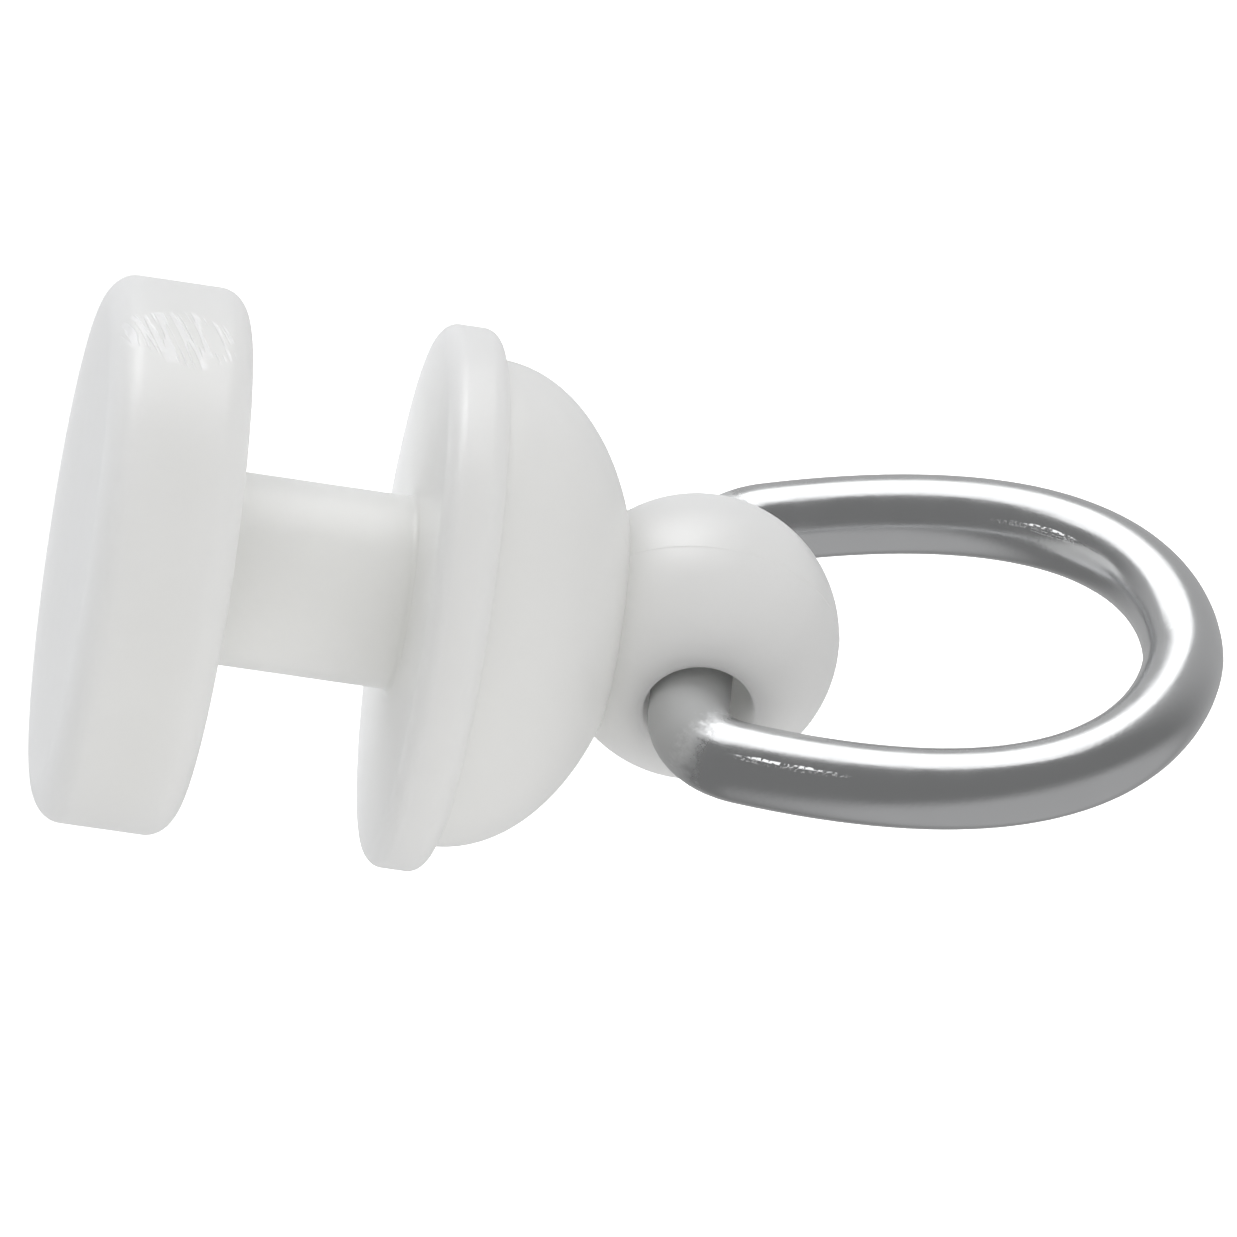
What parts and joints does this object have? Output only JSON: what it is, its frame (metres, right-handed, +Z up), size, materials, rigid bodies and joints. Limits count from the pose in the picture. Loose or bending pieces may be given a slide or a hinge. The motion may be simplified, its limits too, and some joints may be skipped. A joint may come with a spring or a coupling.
{
  "type": "curtain track glider",
  "caption": "Moulded spool glider that runs in a curtain track by its grooved head, with a wire eye swinging in a bored ball below to carry a curtain hook.",
  "frame": {"origin": "centre of the head's flat top face, on the spool's axis", "axes": "+Z up the spool's axis, away from the eye; X along the ball's bore, which is the eye's swing axis; Y across it"},
  "size_m": [0.0124, 0.012, 0.0251],
  "materials": {
    "natural_nylon": "satin, slightly translucent natural nylon, fresh from the mould",
    "plated_wire": "bright zinc-plated drawn wire, duller at the bends"
  },
  "bodies": {
    "glider": {"glider_body": "natural_nylon"},
    "eye": {"eye_ring": "plated_wire"}
  },
  "joints": [
    {"name": "ring_swing", "type": "hinge", "parent": "glider", "child": "eye", "pos_m": [0, 0, -0.01385], "axis": [1, 0, 0], "range_deg": [-140, 119]}
  ]
}
